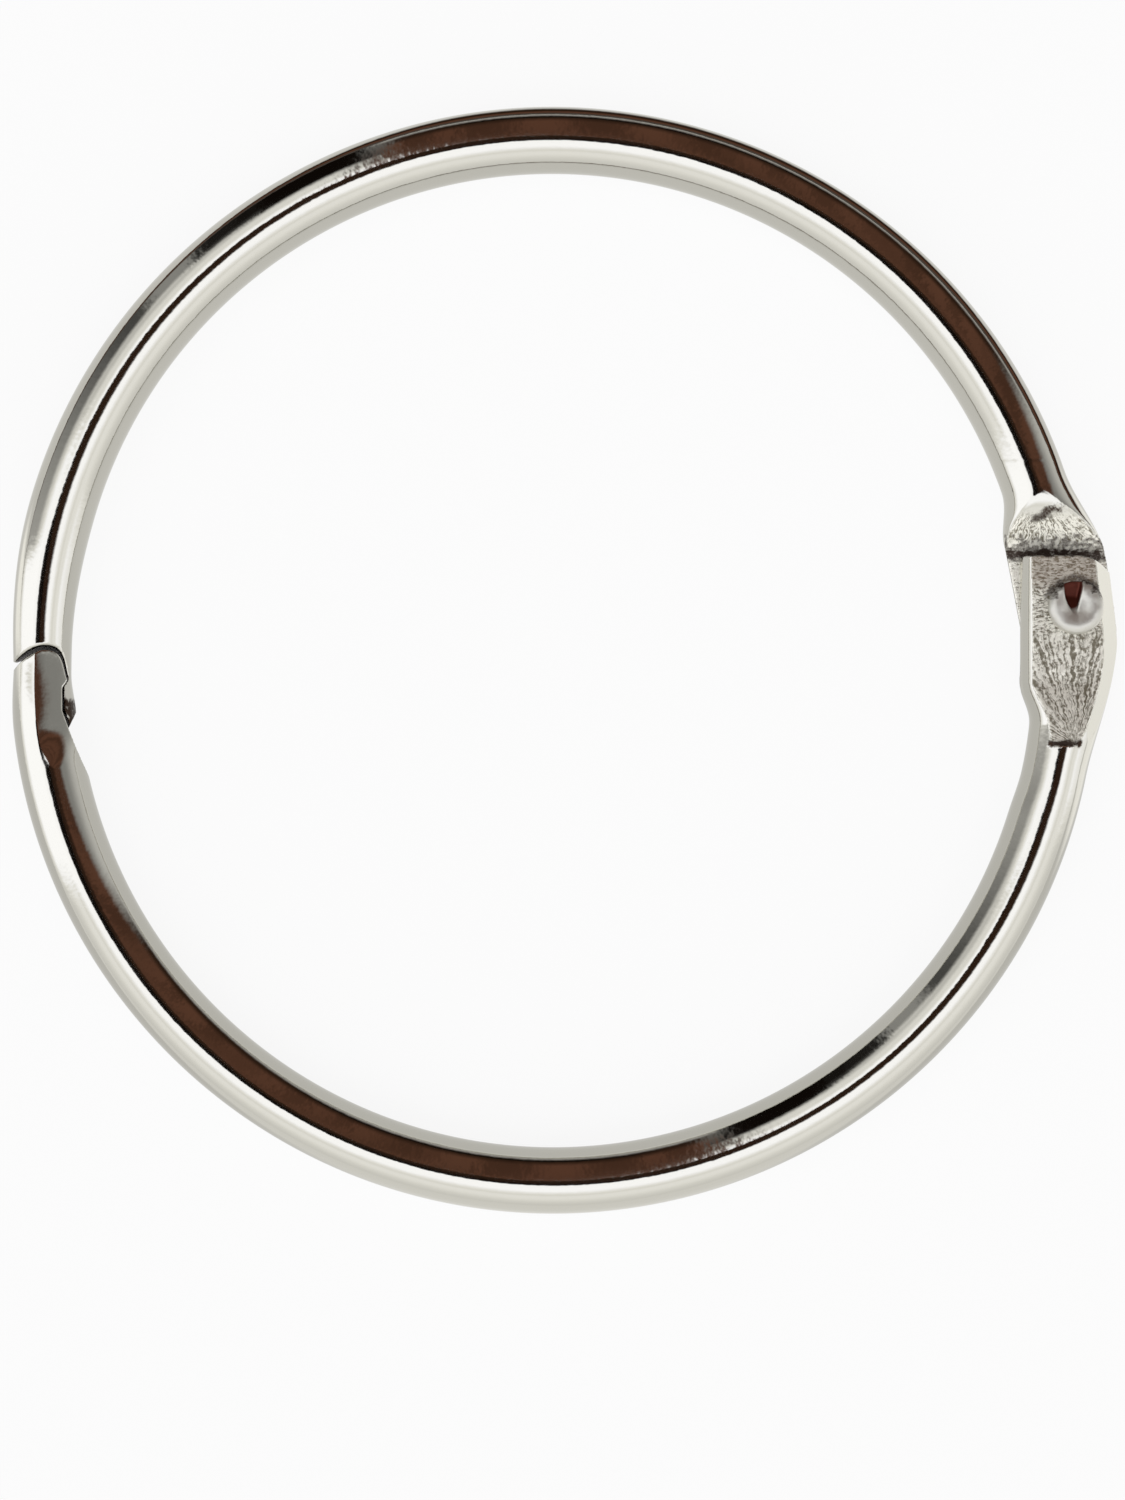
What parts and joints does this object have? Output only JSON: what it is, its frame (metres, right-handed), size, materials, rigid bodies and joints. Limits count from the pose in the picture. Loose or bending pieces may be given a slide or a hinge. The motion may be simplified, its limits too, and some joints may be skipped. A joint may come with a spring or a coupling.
{
  "type": "binder ring",
  "caption": "Hinged snap ring of round nickel-plated wire for punched sheets, with riveted lap ears and a barbed latch.",
  "frame": {"origin": "middle of the ring's outline, at the middle of the wire's thickness", "axes": "+Z square to the plane of the ring, out of the side with the rivet's rolled end; +X towards the hinge; +Y towards the upper arm"},
  "size_m": [0.0581, 0.0581, 0.0035],
  "materials": {
    "nickel_plate": "bright nickel plating on steel wire, rough and matt on the coined ears",
    "rivet_plate": "bright nickel plating on the rolled rivet"
  },
  "bodies": {
    "upper_half": {"upper_arm": "nickel_plate", "hinge_rivet": "rivet_plate"},
    "lower_half": {"lower_arm": "nickel_plate"}
  },
  "joints": [
    {"name": "ring_hinge", "type": "hinge", "parent": "upper_half", "child": "lower_half", "pos_m": [0.0267, 0.00272, 0], "axis": [0, 0, 1], "range_deg": [0, 100]}
  ]
}
